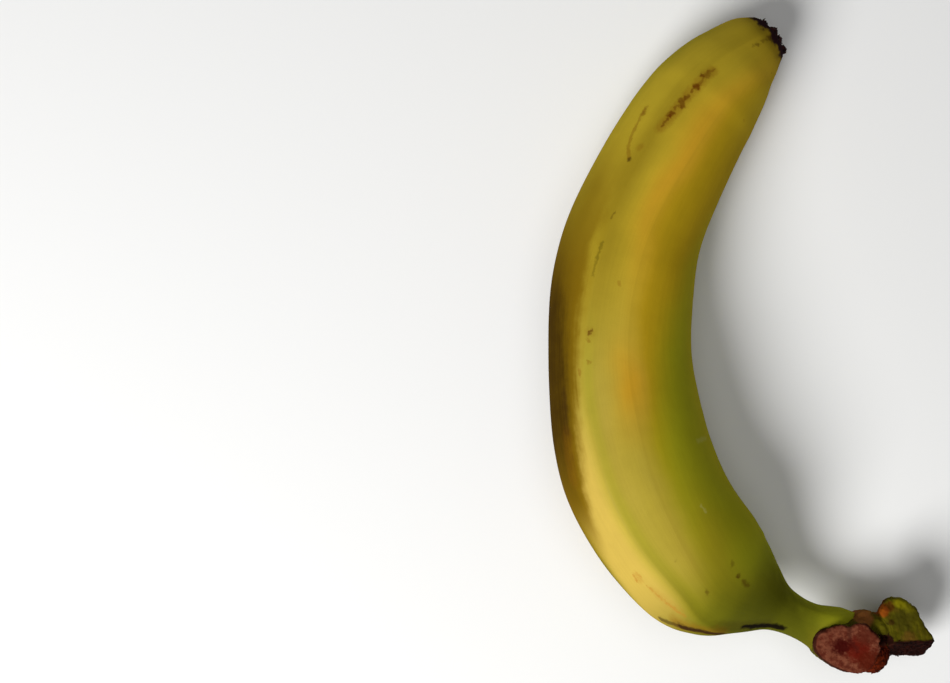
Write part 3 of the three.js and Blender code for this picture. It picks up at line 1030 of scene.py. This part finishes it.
def band_share(tree, measures, fades, strength):
    """How much a band covers: the product of its fades and its strength."""
    share = None
    for measure, *ends in fades:
        fade = tree.fade(measures[measure], *ends) if ends else measures[measure]
        share = fade if share is None else share * fade
    return share if strength == 1 else share * strength


def specks(tree, settings, skin, place):
    """A few tiny brown specks, on some cells of a cell pattern only."""
    def cells(output):
        inputs = {"Vector": place, "Scale": SPECKS_PER_METRE}
        return tree.node("ShaderNodeTexVoronoi", {"feature": "F1"}, inputs, output)
    chance = tree.node("ShaderNodeSeparateColor", inputs={0: cells("Color")})
    size = (chance - 0.72) * 0.16
    return tree.tint(skin, rgba(settings.brown_and_shadow), cells("Distance") - size, 0.012, -0.012, 0.45)


def marks(tree, skin, place, peel):
    """Scratches, scabs and bruises, each a stroke or a dot, and how marked the skin is."""
    aside = place + (0.3, 0.2, 0.1)
    ragged = tree.vector(tree.noise(place, "ragged") - 0.5, tree.noise(aside, "ragged") - 0.5, 0.0)
    point = peel + ragged * MARK_RAGGEDNESS
    broken = tree.fade(tree.noise(place, "broken"), 0.42, 0.56)
    marked = 0.0
    for colour, solid_share, strokes in MARKS:
        group = 0.0
        for half_width, strength, stops in strokes:
            off = distance_to(tree, point, stops)
            stroke = tree.fade(off, half_width * 1.3, half_width * 0.35) * strength
            group = tree.sum("MAXIMUM", stroke, group)
        group = group * (solid_share + broken * (1 - solid_share))
        skin = tree.mix(group, skin, colour)
        marked = tree.sum("MAXIMUM", group, marked)
    return skin, marked


def distance_to(tree, point, stops):
    """Distance from the point to a run of straight pieces, or to a dot where there's one stop."""
    if len(stops) == 1:
        return tree.sum("DISTANCE", point, (*stops[0], 0.0))
    nearest = None
    for start, end in zip(stops, stops[1:]):
        run = (end[0] - start[0], end[1] - start[1], 0.0)
        square = run[0] ** 2 + run[1] ** 2
        from_start = tree.sum("SUBTRACT", point, (*start, 0.0))
        share = tree.sum("DOT_PRODUCT", from_start, (run[0] / square, run[1] / square, 0.0))
        distance = tree.sum("DISTANCE", from_start, tree.scaled(run, tree.held(share)))
        nearest = distance if nearest is None else tree.sum("MINIMUM", nearest, distance)
    return nearest


def dried_end(tree, settings, skin, place, peel):
    """Dark, dried skin that creeps in from the flower end with a ragged edge."""
    crept = tree.split(peel)[0] - tree.noise(place, "creep") * 7.0
    skin = tree.tint(skin, rgba(settings.rust), crept, 4.5, 0.0, 0.5)
    dried = tree.fade(crept, 2.1, 0.1)
    return tree.mix(dried, skin, DRIED_COLOUR), dried


def dried_material():
    """The dried flower end: dark, crumpled and matt."""
    material, tree = new_material("dried flower end")
    place = tree.node("ShaderNodeTexCoord", output="Object")
    grain = tree.noise(place, "dry grain")
    colour = tree.tint(DRIED_DARK, DRIED_LIGHT, grain, 0.35, 0.65)
    colour = tree.tint(colour, DRIED_PATCH, tree.noise(place, "patches"), 0.6, 0.75, 0.6)
    bump = tree.bump(grain, strength=0.5, distance=0.0002)
    close_material(tree, Base_Color=colour, Roughness=0.75, Specular_IOR_Level=0.15, Normal=bump)
    return material


def crown_material():
    """The crown piece: fibrous green skin, the cut face, torn flesh, the cut strip and the
    hollow, each where the mesh's attribute of that name says."""
    material, tree = new_material("crown")
    place = tree.node("ShaderNodeTexCoord", output="Object")
    drawn = place * (1 / MM) + (*DRAWING_MIDDLE, 0.0)
    x, y, z = tree.split(drawn)
    plan = tree.vector(x, y, 0.0)
    grain = tree.noise(place, "crown grain")
    patches = tree.noise(place, "patches")
    fibres = tree.noise(tree.vector(x * 1.1 + y * 0.25, y * 0.16, z * 0.5), "fibres")
    zones = ("cut", "torn", "strip", "hollow", "rim")
    cut, torn, strip, hollow, rim = (stored(tree, zone) for zone in zones)

    skin = tree.tint(CROWN_SKIN, CROWN_FIBRE, fibres, 0.2, 0.8)
    skin = tree.tint(skin, CROWN_PATCH, patches, 0.5, 0.75, 0.5)
    skin = stained(tree, skin, plan, patches, CROWN_STAINS, 0.45)

    face = tree.tint(FACE_DARK, FACE_LIGHT, tree.noise(place, "blotches"), 0.34, 0.66)
    face = tree.tint(face, FACE_FLECK, grain, 0.55, 0.72, 0.45)
    face = tree.tint(face, FACE_PIT, grain, 0.46, 0.32, 0.45)
    face = stained(tree, face, plan, grain, FACE_STAINS, 0.4)
    wavering = plan + tree.vector(grain, patches, 0.0) * 2.4 - (1.2, 1.2, 0.0)
    face = tree.tint(face, FACE_CREASE_COLOUR, distance_to(tree, wavering, FACE_CREASE), 1.2, 0.1, 0.5)
    face = tree.tint(face, FACE_RIM, rim + (patches - 0.5) * 0.9, 0.35, 0.85, 0.85)

    colour = tree.mix(torn, skin, tree.tint(FLESH_DARK, FLESH_LIGHT, grain, 0.35, 0.65))
    colour = tree.mix(tree.fade(cut, 0.02, 0.35) * (0.2 + rim * 0.8), colour, CUT_EDGE)
    colour = tree.tint(colour, face, cut, 0.3, 0.8)
    colour = tree.mix(strip, colour, tree.tint(STRIP_DARK, STRIP_LIGHT, grain, 0.4, 0.7))
    colour = tree.mix(hollow, colour, HOLLOW)
    bump = tree.bump(grain + fibres * 0.5, strength=0.35, distance=0.00025)
    close_material(tree, Base_Color=colour, Roughness=0.7 + grain * 0.2, Specular_IOR_Level=0.02,
                   Normal=bump)
    return material


def stained(tree, colour, plan, raggedness, stains, solid_share):
    """Round stains seen from above, solid up to a share of their radius."""
    for stain, centre, radius, strength in stains:
        off = tree.sum("DISTANCE", plan, (*centre, 0.0)) + (raggedness - 0.5) * radius
        colour = tree.tint(colour, stain, off, radius, radius * solid_share, strength)
    return colour


def floor_material(colour):
    material, tree = new_material("floor")
    close_material(tree, Base_Color=(*colour, 1.0), Roughness=0.9)
    return material


# ---- Crown -------------------------------------------------------------------------------

STUB_OUTLINE = smooth_run(STUB_RIM, RIM_STEPS, closed=True)
STUB_FACING = np.array(STUB_LEAN) / np.linalg.norm(STUB_LEAN)


def stub_mesh():
    """The neighbour's stub: a post with an uneven rim and a leaning cut face."""
    middle = np.array(STUB_MIDDLE[:2])
    rings = []
    for depth, size in STUB_LEVELS:
        ring = []
        for point in STUB_OUTLINE:
            x, y = middle + (point - middle) * size
            slope = (STUB_FACING[0] * (x - middle[0]) + STUB_FACING[1] * (y - middle[1])) / STUB_FACING[2]
            ring.append(placed(x, y, STUB_MIDDLE[2] - slope + depth))
        rings.append(ring)
    bottom, top = (placed(*middle, STUB_MIDDLE[2] + STUB_LEVELS[level][0]) for level in (0, -1))
    return mesh_of(rings, bottom, top)


def wedge_mesh():
    """The wedge of crown, straight along the side where it was cut."""
    cut_run = WEDGE_RIM[:WEDGE_CUT_POINTS]
    straight = [np.array(a) + (np.array(b) - a) * step / RIM_STEPS
                for a, b in zip(cut_run, cut_run[1:]) for step in range(RIM_STEPS)]
    grown = smooth_run(WEDGE_RIM[WEDGE_CUT_POINTS - 1:] + WEDGE_RIM[:1], RIM_STEPS)
    rim = [(point, True) for point in straight] + [(point, False) for point in grown[:-1]]
    sizes = profile(WEDGE_LEVELS)
    rings = []
    for level in np.linspace(0, 1, WEDGE_ROWS):
        size = float(sizes(level))
        below = 1 - level
        height = WEDGE_BOTTOM + (WEDGE_TOP - WEDGE_BOTTOM) * level
        ring = []
        for (x, y), on_cut in rim:
            px = WEDGE_MIDDLE[0] + (x - WEDGE_MIDDLE[0]) * size + WEDGE_LEAN[0] * below
            py = y - WEDGE_SPREAD * below if on_cut else WEDGE_MIDDLE[1] + (y - WEDGE_MIDDLE[1]) * size
            ring.append(placed(px, py + WEDGE_LEAN[1] * below, height))
        rings.append(ring)
    middle_low = placed(WEDGE_MIDDLE[0] + WEDGE_LEAN[0], WEDGE_MIDDLE[1] + WEDGE_LEAN[1], WEDGE_BOTTOM)
    return mesh_of(rings, middle_low, placed(*WEDGE_MIDDLE, WEDGE_TOP))


def crown_zones(points, normals):
    """How far each point belongs to the cut face, the torn flesh, the dark cut strip, the hollow
    beside the wedge and the face's dark rim."""
    drawing = points / MM + np.array([*DRAWING_MIDDLE, 0])
    x, y, z = drawing.T
    over_face = (drawing - STUB_MIDDLE) @ STUB_FACING
    across, up = x - STUB_MIDDLE[0], y - STUB_MIDDLE[1]
    from_middle = np.hypot(across / STUB_FACE_HALF[0], up / STUB_FACE_HALF[1])
    cut = ease(over_face, -1.5, -0.4) * (1 - ease(from_middle, 1.05, 1.2))
    torn = np.zeros(len(points))
    for middle, half, _ in TORN_LUMPS:
        torn = np.maximum(torn, 1 - ease(share_out(drawing, middle, half), 1.06, 1.23))
    torn *= 1 - cut
    strip = ease(-normals[:, 1], 0.25, 0.6) * ease(x, 44.5, 47) * (1 - cut)
    hollow = (1 - ease(share_out(drawing, *NOTCH[:2]), 1.1, 1.3)) * (1 - ease(z, 23.2, 24.6)) * (1 - cut)
    from_rim = np.min(np.hypot(x[:, None] - STUB_OUTLINE[:, 0], y[:, None] - STUB_OUTLINE[:, 1]), axis=1)
    bearing = np.degrees(np.arctan2(up, across))
    rim = (1 - ease(from_rim, 0.3, 1.5)) * np.interp(bearing, *np.array(DARK_RIM).T)
    return {"cut": cut, "torn": torn, "strip": strip, "hollow": hollow, "rim": rim}


def share_out(drawing, middle, half):
    """How far out from the middle of a lump each point lies, as a share of its half sizes."""
    return np.linalg.norm((drawing - middle) / np.array(half), axis=1)


def weathered_tree():
    """Roughens a skin where its attributes say: lumpy by "lumpy", torn into sharp ridges by
    "ragged", combed into streaks by "streaked", with loose fibres rooted in it by "hairy"."""
    tree = GeometryTree("Weathered skin")
    lump_depth, rag_depth, streak_depth, density, length, radius = tree.floats(
        "Lump depth", "Rag depth", "Streak depth", "Fibres per area", "Fibre length", "Fibre radius")
    seed = tree.input("Seed", "Int")
    material = tree.input("Material", "Material")

    drawn = tree.node("GeometryNodeInputPosition") * (1 / MM)
    x, y, z = tree.split(drawn)
    lumps = (tree.noise(drawn, "lumps") - 0.5) * lump_depth * tree.attribute("lumpy")
    folds = 1.0 - abs(tree.noise(drawn, "folds") * 2.0 - 1.0) * 2.0
    rags = folds * rag_depth * tree.attribute("ragged")
    combed = tree.vector(x * 1.0 + y * 0.22, y * 0.1, z * 0.4)
    streaks = (tree.noise(combed, "combed") - 0.5) * 2.0 * streak_depth * tree.attribute("streaked")
    offset = tree.node("GeometryNodeInputNormal") * (lumps + rags + streaks)
    skin = tree.node("GeometryNodeSetPosition", inputs={"Geometry": tree.geometry(), "Offset": offset})

    scatter = {"Mesh": skin, "Density": density * tree.attribute("hairy"), "Seed": seed}
    roots = tree.node("GeometryNodeDistributePointsOnFaces", inputs=scatter)
    outward = Value(tree, tree.pick(roots.socket.node.outputs, "Normal"))
    fibre = tree.node("GeometryNodeMeshCone", inputs={
        "Vertices": 6, "Side Segments": 2, "Radius Top": 0.1, "Radius Bottom": 1.0, "Depth": 1.0})
    stray = tree.node("FunctionNodeRandomValue", {"data_type": "FLOAT_VECTOR"},
                      {"Min": (-1.0, -1.0, -0.7), "Max": (1.0, 0.6, 0.7), "Seed": seed})
    pointing = outward * 0.35 + stray
    turn = tree.node("FunctionNodeAlignRotationToVector", {"axis": "Z"}, {"Vector": pointing})
    reach = tree.node("FunctionNodeRandomValue", {"data_type": "FLOAT"},
                      {"Min": 0.4, "Max": 1.0, "Seed": seed})
    thickness = tree.vector(radius, radius, length * reach)
    fibres = tree.node("GeometryNodeInstanceOnPoints", inputs={
        "Points": roots, "Instance": fibre, "Rotation": turn, "Scale": thickness})
    fibres = tree.node("GeometryNodeRealizeInstances", inputs={"Geometry": fibres})
    fibres = tree.store(fibres, "torn", 1.0)
    both = tree.nodes.new("GeometryNodeJoinGeometry")
    for part in (skin, fibres):
        tree.links.new(part.socket, both.inputs[0])
    tree.end(Value(tree, both.outputs[0]), material)
    return tree



# ---- Operators ---------------------------------------------------------------------------

def colour_property(name, description, levels):
    """A colour setting whose usual value is given in screen levels from 0 to 255."""
    return FloatVectorProperty(name=name, description=description, default=srgb(*levels)[:3], size=3,
                               min=0.0, max=1.0, subtype="COLOR")


def length_property(name, description, usual):
    return FloatProperty(name=name, description=description, default=usual, min=0.0, max=0.01,
                         unit="LENGTH", precision=5)


def share_property(name, description, usual):
    return FloatProperty(name=name, description=description, default=usual, min=0.0, max=2.0,
                         subtype="FACTOR")


def power_property(name, description, usual):
    return FloatProperty(name=name, description=description, default=usual, min=0.0, unit="POWER")


def whole_property(name, description, usual, least=0, most=10000):
    return IntProperty(name=name, description=description, default=usual, min=least, max=most)


class FruitSettings(bpy.types.PropertyGroup):
    """Sizes and colours of the fruit's skin."""

    rows: whole_property("Rows", "Sections along the fruit", 400, 40, 600)
    columns: whole_property("Columns", "Facets between two ridges", 26, 4, 40)
    ridge_height: share_property("Ridge height", "Height of the ridges as a share of the drawing's", 1.0)
    softness: share_property("Ridge softness", "How rounded the ridges are, as a share of a face", 0.05)
    unevenness: length_property("Unevenness", "How far the skin swells and sinks", 0.0005)
    yellow: colour_property("Yellow", "The ripe back by the flower end", (188, 163, 43))
    straw: colour_property("Straw", "The ripe back by the stalk", (169, 151, 54))
    orange: colour_property("Orange", "Warm blushes", (194, 147, 36))
    # Pale is the band's yellower colour with a painted highlight, and the painted sheen on the back.
    pale_and_sheen: colour_property("Pale", "The bright band by the shoulder", (186, 158, 70))
    olive: colour_property("Olive", "The hollow side by the flower end", (166, 137, 22))
    green: colour_property("Green", "The hollow side by the stalk", (157, 154, 26))
    moss: colour_property("Moss", "The stalk's own green", (152, 153, 30))
    umber: colour_property("Umber", "Duller skin along the back", (135, 113, 24))
    # Neck is the neck's own dark green with painted shade; it also paints shade on the outer edge and
    # under the stalk.
    neck_and_shade: colour_property("Neck", "Where the fruit draws in to its stalk", (82, 82, 15))
    # Rust and brown paint the browned side, partly real browning and partly painted shadow; brown also
    # colours the real specks.
    rust: colour_property("Rust", "The edge of the browned side", (118, 91, 10))
    brown_and_shadow: colour_property("Brown", "The browned side and specks", (62, 43, 3))


class CrownSettings(bpy.types.PropertyGroup):
    """Sizes of the crown piece."""

    voxel: length_property("Face size", "Size of the faces that the crown is fused from", 0.00026)
    lumps: length_property("Lumps", "Depth of the broad lumps", 0.0014)
    rags: length_property("Rags", "Depth of the torn flesh", 0.0007)
    streaks: length_property("Streaks", "Depth of the streaks on the green skin", 0.00013)
    fibres: FloatProperty(
        name="Fibres", description="Loose fibres in a square metre", default=1.4e5, min=0.0)
    fibre_length: length_property("Fibre length", "Length of the longest loose fibre", 0.0006)
    fibre_radius: length_property("Fibre radius", "Radius of a loose fibre at its root", 0.00022)
    seed: whole_property("Seed", "Picks where the fibres grow", 4)


class FlowerEndSettings(bpy.types.PropertyGroup):
    """Sizes of the dried flower end."""

    voxel: length_property("Face size", "Size of the faces that the nubs are fused from", 0.0002)
    nub_size: share_property("Nub size", "Size of the nubs as a share of the drawing's", 1.05)
    lumps: length_property("Lumps", "Depth of the broad lumps", 0.0016)
    crumple: length_property("Crumple", "Depth of the crumpled skin", 0.0005)
    scales: FloatProperty(
        name="Scales", description="Dry scales in a square metre", default=3.0e5, min=0.0)
    scale_length: length_property("Scale length", "Length of the longest dry scale", 0.0011)
    seed: whole_property("Seed", "Picks where the scales grow", 7)


class StageSettings(bpy.types.PropertyGroup):
    """The floor and the lights."""

    floor_colour: FloatVectorProperty(
        name="Floor", description="Colour of the floor", default=(0.86, 0.86, 0.85), size=3, min=0.0,
        max=1.0, subtype="COLOR")
    overhead_power: power_property("Overhead light", "Power of the wide light overhead", 3.5)
    side_power: power_property("Side light", "Power of the soft light by the crescent's back", 19.0)
    ambient: FloatProperty(
        name="Ambient", description="Strength of the light from all round", default=0.07, min=0.0)


class PLANTAIN_OT_fruit(bpy.types.Operator):
    """Grow the fruit with its stalk from the drawing's rule"""

    bl_idname = "plantain.fruit"
    bl_label = "Fruit"

    def execute(self, context):
        settings = context.scene.plantain_fruit
        piece = new_piece("fruit_skin", spine_mesh(settings.rows, settings.softness))
        tree = fruit_tree()
        material = peel_material(settings)
        tree.run(piece, columns=settings.columns, ridge_height=settings.ridge_height,
                 softness=settings.softness, unevenness=settings.unevenness, material=material)
        keep_outside_out(piece.data)
        dressed(piece, material)
        return {"FINISHED"}


def keep_outside_out(mesh):
    """Turns the faces outwards if the shape was swept inside out."""
    shape = bmesh.new()
    shape.from_mesh(mesh)
    if any(not edge.is_manifold for edge in shape.edges):
        raise RuntimeError(f"{mesh.name} isn't closed")
    if shape.calc_volume(signed=True) < 0:
        bmesh.ops.reverse_faces(shape, faces=shape.faces)
    shape.to_mesh(mesh)
    shape.free()


class PLANTAIN_OT_crown(bpy.types.Operator):
    """Build the cut and torn piece of crown at the stalk"""

    bl_idname = "plantain.crown"
    bl_label = "Crown piece"

    def execute(self, context):
        settings = context.scene.plantain_crown
        lumps = [lump_mesh(*lump) for lump in CROWN_LUMPS + TORN_LUMPS]
        piece = new_piece("crown_piece", joined([stub_mesh(), wedge_mesh(), *lumps]))
        fuse(piece, settings.voxel)
        cut_away(piece, lump_mesh(*NOTCH))
        fuse(piece, settings.voxel)
        relax(piece.data, 3)
        mesh = piece.data
        zones = crown_zones(vectors(mesh.vertices, "co"), vectors(mesh.vertex_normals, "vector"))
        set_shares(mesh, zones)
        green = 1 - np.maximum(zones["cut"], np.maximum(zones["torn"], zones["strip"]))
        set_shares(mesh, {
            "lumpy": 1 - 0.5 * zones["cut"],
            "ragged": np.maximum(zones["torn"], 0.8 * zones["strip"]) + 0.4 * zones["cut"],
            "streaked": green,
            "hairy": np.maximum(zones["torn"], zones["strip"]) * (1 - zones["hollow"]),
        })
        material = crown_material()
        weathered_tree().run(
            piece, lump_depth=settings.lumps, rag_depth=settings.rags, streak_depth=settings.streaks,
            fibres_per_area=settings.fibres, fibre_length=settings.fibre_length,
            fibre_radius=settings.fibre_radius, seed=settings.seed, material=material)
        dressed(piece, material)
        return {"FINISHED"}


class PLANTAIN_OT_flower_end(bpy.types.Operator):
    """Set the dried nubs round the flower end"""

    bl_idname = "plantain.flower_end"
    bl_label = "Flower end"

    def execute(self, context):
        settings = context.scene.plantain_flower_end
        piece = new_piece("flower_end", nub_points())
        material = dried_material()
        nub_tree().run(piece, nub_size=settings.nub_size, seed=settings.seed, material=material)
        fuse(piece, settings.voxel)
        relax(piece.data, 2)
        every = np.ones(len(piece.data.vertices))
        set_shares(piece.data, {"lumpy": every, "ragged": every, "streaked": 0 * every, "hairy": every})
        weathered_tree().run(
            piece, lump_depth=settings.lumps, rag_depth=settings.crumple, streak_depth=0.0,
            fibres_per_area=settings.scales, fibre_length=settings.scale_length, fibre_radius=SCALE_RADIUS,
            seed=settings.seed, material=material)
        dressed(piece, material)
        return {"FINISHED"}


def nub_points():
    """One point for each nub and one for the stump inside their ring, with its radius."""
    middle, ahead = on_line(0.0)
    height = float(UNDERSIDE_AT(0) + (OUTER_REACH(0) + INNER_REACH(0)) * HEIGHT_OVER_WIDTH_AT(0) / 2)
    inward = np.array([-ahead[1], ahead[0]])
    places, radii = [], []
    for bearing, out, inset, radius in FLOWER_NUBS:
        turn = math.radians(bearing)
        place = middle + inward * out * math.sin(turn) + ahead * inset
        places.append(placed(*place, height + out * math.cos(turn)))
        radii.append(radius * MM)
    mesh = bpy.data.meshes.new("nub points")
    mesh.from_pydata(places, [], [])
    set_shares(mesh, {"radius": radii})
    return mesh


def nub_tree():
    """Sets a round nub of each point's radius on it."""
    tree = GeometryTree("Flower nubs")
    nub_size = tree.input("Nub size", "Float")
    material = tree.input("Material", "Material")
    seed = tree.input("Seed", "Int")
    nub = tree.node("GeometryNodeMeshIcoSphere", inputs={"Radius": 1.0, "Subdivisions": BALL_SUBDIVISIONS})
    stretch = tree.node("FunctionNodeRandomValue", {"data_type": "FLOAT_VECTOR"},
                        {"Min": NUB_STRETCH[0], "Max": NUB_STRETCH[1], "Seed": seed})
    size = stretch * (tree.attribute("radius") * nub_size)
    nubs = tree.node("GeometryNodeInstanceOnPoints", inputs={
        "Points": tree.geometry(), "Instance": nub, "Scale": size})
    tree.end(nubs, material)
    return tree


class PLANTAIN_OT_stage(bpy.types.Operator):
    """Lay the pale floor and set the lights and the camera"""

    bl_idname = "plantain.stage"
    bl_label = "Stage"

    def execute(self, context):
        settings = context.scene.plantain_stage
        floor_mesh = bpy.data.meshes.new("floor")
        corners = [(x * FLOOR_HALF, y * FLOOR_HALF, 0) for x, y in ((-1, -1), (1, -1), (1, 1), (-1, 1))]
        floor_mesh.from_pydata(corners, [], [(0, 1, 2, 3)])
        floor_mesh.materials.append(floor_material(settings.floor_colour[:]))
        new_piece("floor", floor_mesh)

        for light, power in zip(LIGHTS, (settings.overhead_power, settings.side_power)):
            add_light(*light, power)
        world = bpy.data.worlds.new("surroundings")
        world.use_nodes = True
        background = world.node_tree.nodes["Background"]
        background.inputs["Color"].default_value = (1.0, 1.0, 1.0, 1.0)
        background.inputs["Strength"].default_value = settings.ambient
        context.scene.world = world

        camera_data = bpy.data.cameras.new("camera")
        camera_data.lens = CAMERA_LENS
        camera_data.sensor_width = CAMERA_SENSOR
        camera = bpy.data.objects.new("camera", camera_data)
        camera.location = [value * MM for value in CAMERA_PLACE]
        context.scene.collection.objects.link(camera)
        context.scene.camera = camera
        context.scene.view_settings.view_transform = "Standard"
        return {"FINISHED"}


def add_light(name, place, target, size, power):
    data = bpy.data.lights.new(name, "AREA")
    data.shape = "DISK"
    data.size = size
    data.energy = power
    light = bpy.data.objects.new(name, data)
    light.location = place
    light.rotation_euler = (Vector(target) - Vector(place)).to_track_quat("-Z", "Y").to_euler()
    bpy.context.scene.collection.objects.link(light)


class PLANTAIN_PT_panel(bpy.types.Panel):
    """Lists the pieces with their sizes and colours"""

    bl_label = "Plantain"
    bl_space_type = "VIEW_3D"
    bl_region_type = "UI"
    bl_category = "Plantain"

    def draw(self, context):
        for operator, group in LISTED:
            box = self.layout.box()
            box.operator(operator)
            if group:
                values = getattr(context.scene, group)
                for name in values.__annotations__:
                    box.prop(values, name)


LISTED = [
    ("plantain.fruit", "plantain_fruit"),
    ("plantain.crown", "plantain_crown"),
    ("plantain.flower_end", "plantain_flower_end"),
    ("plantain.stage", "plantain_stage"),
]
SETTINGS = {
    "plantain_fruit": FruitSettings,
    "plantain_crown": CrownSettings,
    "plantain_flower_end": FlowerEndSettings,
    "plantain_stage": StageSettings,
}
CLASSES = [
    *SETTINGS.values(), PLANTAIN_OT_fruit, PLANTAIN_OT_crown, PLANTAIN_OT_flower_end, PLANTAIN_OT_stage,
    PLANTAIN_PT_panel,
]


def register():
    for made in CLASSES:
        bpy.utils.register_class(made)
    for name, group in SETTINGS.items():
        setattr(bpy.types.Scene, name, PointerProperty(type=group))


def unregister():
    for name in SETTINGS:
        delattr(bpy.types.Scene, name)
    for made in reversed(CLASSES):
        bpy.utils.unregister_class(made)


def main():
    register()
    bpy.ops.plantain.fruit()
    bpy.ops.plantain.crown()
    bpy.ops.plantain.flower_end()
    bpy.ops.plantain.stage()


if __name__ == "__main__":
    main()
